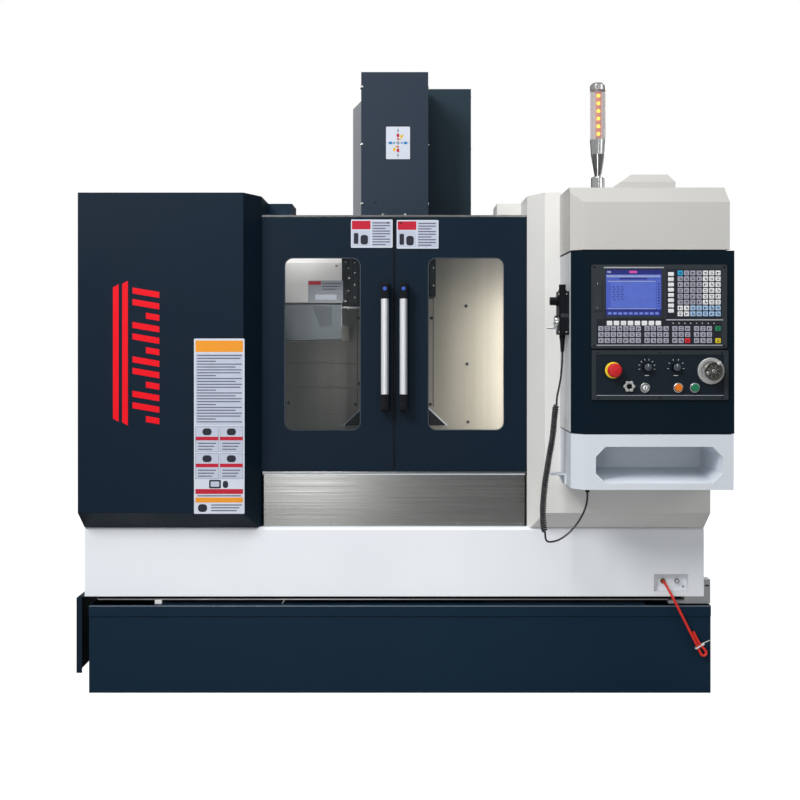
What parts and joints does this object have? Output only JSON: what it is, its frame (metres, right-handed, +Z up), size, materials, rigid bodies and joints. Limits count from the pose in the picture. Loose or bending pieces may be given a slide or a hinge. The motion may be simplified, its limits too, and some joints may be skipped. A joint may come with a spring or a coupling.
{
  "type": "cnc machining center",
  "caption": "Enclosed vertical milling machine with sliding doors, cross-slide table, vertical head, tool magazine, side console and coolant tank.",
  "frame": {"origin": "floor level, middle of the plan outline", "axes": "+X right as seen from the doors, +Y to the back, +Z up"},
  "size_m": [1.97, 1.6703, 2.015],
  "materials": {
    "navy_paint": "satin powder coat",
    "white_paint": "satin powder coat",
    "hammer_paint": "textured powder coat",
    "grey_paint": "satin",
    "stainless": "brushed",
    "casting_paint": "painted casting",
    "ground_steel": "ground",
    "chrome": "polished",
    "aluminium": "anodised",
    "motor_black": "matt",
    "black_plastic": "matt",
    "panel_grey": "matt",
    "key_grey": "satin",
    "screen_blue": "glossy",
    "red_plastic": "glossy",
    "orange_plastic": "glossy",
    "green_plastic": "glossy",
    "window": "clear",
    "lamp_lens": "clear",
    "cord_rubber": "matt",
    "hose_red": "satin"
  },
  "bodies": {
    "machine": {"bed_casting": "casting_paint", "levelling_feet": "ground_steel", "column": "casting_paint", "axis_motors": "motor_black", "column_cover": "hammer_paint", "column_side_cover": "hammer_paint", "magazine_cover": "white_paint", "base_tray": "white_paint", "left_housing": "navy_paint", "right_housing": "white_paint", "rear_splash_guard": "stainless", "coolant_tank": "navy_paint", "side_skirts": "navy_paint", "apron_panel": "stainless", "door_tracks": "stainless", "electrical_cabinet": "white_paint", "console_top_box": "white_paint", "console_body": "navy_paint", "console_tray": "white_paint", "cnc_unit": "panel_grey", "screen": "screen_blue", "keypad": "key_grey", "operator_panel": "panel_grey", "mpg_body": "black_plastic", "light_post": "chrome", "light_lens": "lamp_lens", "cable_glands": "black_plastic", "mpg_cord_upper": "cord_rubber", "mpg_cord_coil": "cord_rubber", "mpg_cord_lower": "cord_rubber", "air_hose": "hose_red"},
    "door_left": {"left_door": "navy_paint", "left_window": "window", "left_handle": "aluminium"},
    "door_right": {"right_door": "navy_paint", "right_window": "window", "right_handle": "aluminium"},
    "cross_slide": {"saddle": "casting_paint"},
    "work_table": {"table": "ground_steel"},
    "x_screw": {"x_ballscrew": "ground_steel"},
    "y_screw": {"y_ballscrew": "ground_steel"},
    "z_screw": {"z_ballscrew": "ground_steel"},
    "head": {"head_casting": "hammer_paint", "spindle_motor": "motor_black", "head_cover": "hammer_paint"},
    "spindle_shaft": {"spindle": "ground_steel"},
    "magazine": {"magazine_carriage": "grey_paint"},
    "tool_disc": {"carousel": "aluminium"},
    "rear_door": {"cabinet_door": "white_paint"},
    "rear_switch": {"main_switch": "red_plastic"},
    "estop": {"estop_button": "red_plastic"},
    "feed_dial": {"feed_knob": "black_plastic"},
    "spindle_dial": {"spindle_knob": "black_plastic"},
    "console_wheel": {"panel_handwheel": "aluminium"},
    "key_lock": {"key_switch": "chrome"},
    "button_orange": {"orange_button": "orange_plastic"},
    "button_green": {"green_button": "green_plastic"},
    "pulse_wheel": {"mpg_handwheel": "chrome"},
    "axis_dial": {"mpg_axis_knob": "black_plastic"},
    "rate_dial": {"mpg_rate_knob": "black_plastic"}
  },
  "joints": [
    {"name": "left_door_slide", "type": "slide", "parent": "machine", "child": "door_left", "axis": [-1, 0, 0], "range_m": [0, 0.34]},
    {"name": "right_door_slide", "type": "slide", "parent": "machine", "child": "door_right", "axis": [1, 0, 0], "range_m": [0, 0.34]},
    {"name": "y_axis", "type": "slide", "parent": "machine", "child": "cross_slide", "axis": [0, 1, 0], "range_m": [-0.13, 0.13]},
    {"name": "x_axis", "type": "slide", "parent": "cross_slide", "child": "work_table", "axis": [1, 0, 0], "range_m": [-0.225, 0.225]},
    {"name": "z_axis", "type": "slide", "parent": "machine", "child": "head", "axis": [0, 0, 1], "range_m": [-0.38, 0]},
    {"name": "x_screw_turn", "type": "hinge", "parent": "cross_slide", "child": "x_screw", "pos_m": [0, -0.04, 0.603], "axis": [1, 0, 0], "range_deg": [-8100, 8100]},
    {"name": "y_screw_turn", "type": "hinge", "parent": "machine", "child": "y_screw", "pos_m": [0, -0.04, 0.458], "axis": [0, 1, 0], "range_deg": [-4680, 4680]},
    {"name": "z_screw_turn", "type": "hinge", "parent": "machine", "child": "z_screw", "pos_m": [0, 0.282, 1.3], "axis": [0, 0, 1], "range_deg": [-13680, 0]},
    {"name": "spindle_spin", "type": "hinge", "parent": "head", "child": "spindle_shaft", "pos_m": [0, -0.04, 1.35], "axis": [0, 0, 1], "continuous": true},
    {"name": "magazine_slide", "type": "slide", "parent": "machine", "child": "magazine", "axis": [1, 0, 0], "range_m": [0, 0.197]},
    {"name": "carousel_spin", "type": "hinge", "parent": "magazine", "child": "tool_disc", "pos_m": [-0.422, -0.04, 1.2], "axis": [0, 0, 1], "continuous": true},
    {"name": "cabinet_door_hinge", "type": "hinge", "parent": "machine", "child": "rear_door", "pos_m": [-0.488, 0.8133, 1], "axis": [0, 0, 1], "range_deg": [0, 110]},
    {"name": "main_switch_turn", "type": "hinge", "parent": "rear_door", "child": "rear_switch", "pos_m": [0.38, 0.83, 1.38], "axis": [0, 1, 0], "range_deg": [0, 90]},
    {"name": "estop_press", "type": "slide", "parent": "machine", "child": "estop", "axis": [0, 1, 0], "range_m": [0, 0.005]},
    {"name": "feed_override_turn", "type": "hinge", "parent": "machine", "child": "feed_dial", "pos_m": [0.7164, -0.79, 1.018], "axis": [0, 1, 0], "range_deg": [-120, 120]},
    {"name": "spindle_override_turn", "type": "hinge", "parent": "machine", "child": "spindle_dial", "pos_m": [0.7982, -0.79, 1.018], "axis": [0, 1, 0], "range_deg": [-90, 90]},
    {"name": "console_wheel_turn", "type": "hinge", "parent": "machine", "child": "console_wheel", "pos_m": [0.8956, -0.79, 1.0074], "axis": [0, 1, 0], "continuous": true},
    {"name": "key_turn", "type": "hinge", "parent": "machine", "child": "key_lock", "pos_m": [0.7108, -0.79, 0.96], "axis": [0, 1, 0], "range_deg": [0, 90]},
    {"name": "orange_press", "type": "slide", "parent": "machine", "child": "button_orange", "axis": [0, 1, 0], "range_m": [0, 0.003], "stiffness_N_per_m": 600},
    {"name": "green_press", "type": "slide", "parent": "machine", "child": "button_green", "axis": [0, 1, 0], "range_m": [0, 0.003], "stiffness_N_per_m": 600},
    {"name": "pulse_wheel_turn", "type": "hinge", "parent": "machine", "child": "pulse_wheel", "pos_m": [0.47, -0.693, 1.146], "axis": [-1, 0, 0], "continuous": true},
    {"name": "axis_select_turn", "type": "hinge", "parent": "machine", "child": "axis_dial", "pos_m": [0.47, -0.693, 1.208], "axis": [-1, 0, 0], "range_deg": [-90, 90]},
    {"name": "rate_select_turn", "type": "hinge", "parent": "machine", "child": "rate_dial", "pos_m": [0.4917, -0.693, 1.25], "axis": [0, 0, 1], "range_deg": [-60, 60]}
  ],
  "couplings": [
    {"joint": "x_screw_turn", "follows": "x_axis", "rad_per_m": 628.32},
    {"joint": "y_screw_turn", "follows": "y_axis", "rad_per_m": 628.32},
    {"joint": "z_screw_turn", "follows": "z_axis", "rad_per_m": 628.32}
  ]
}
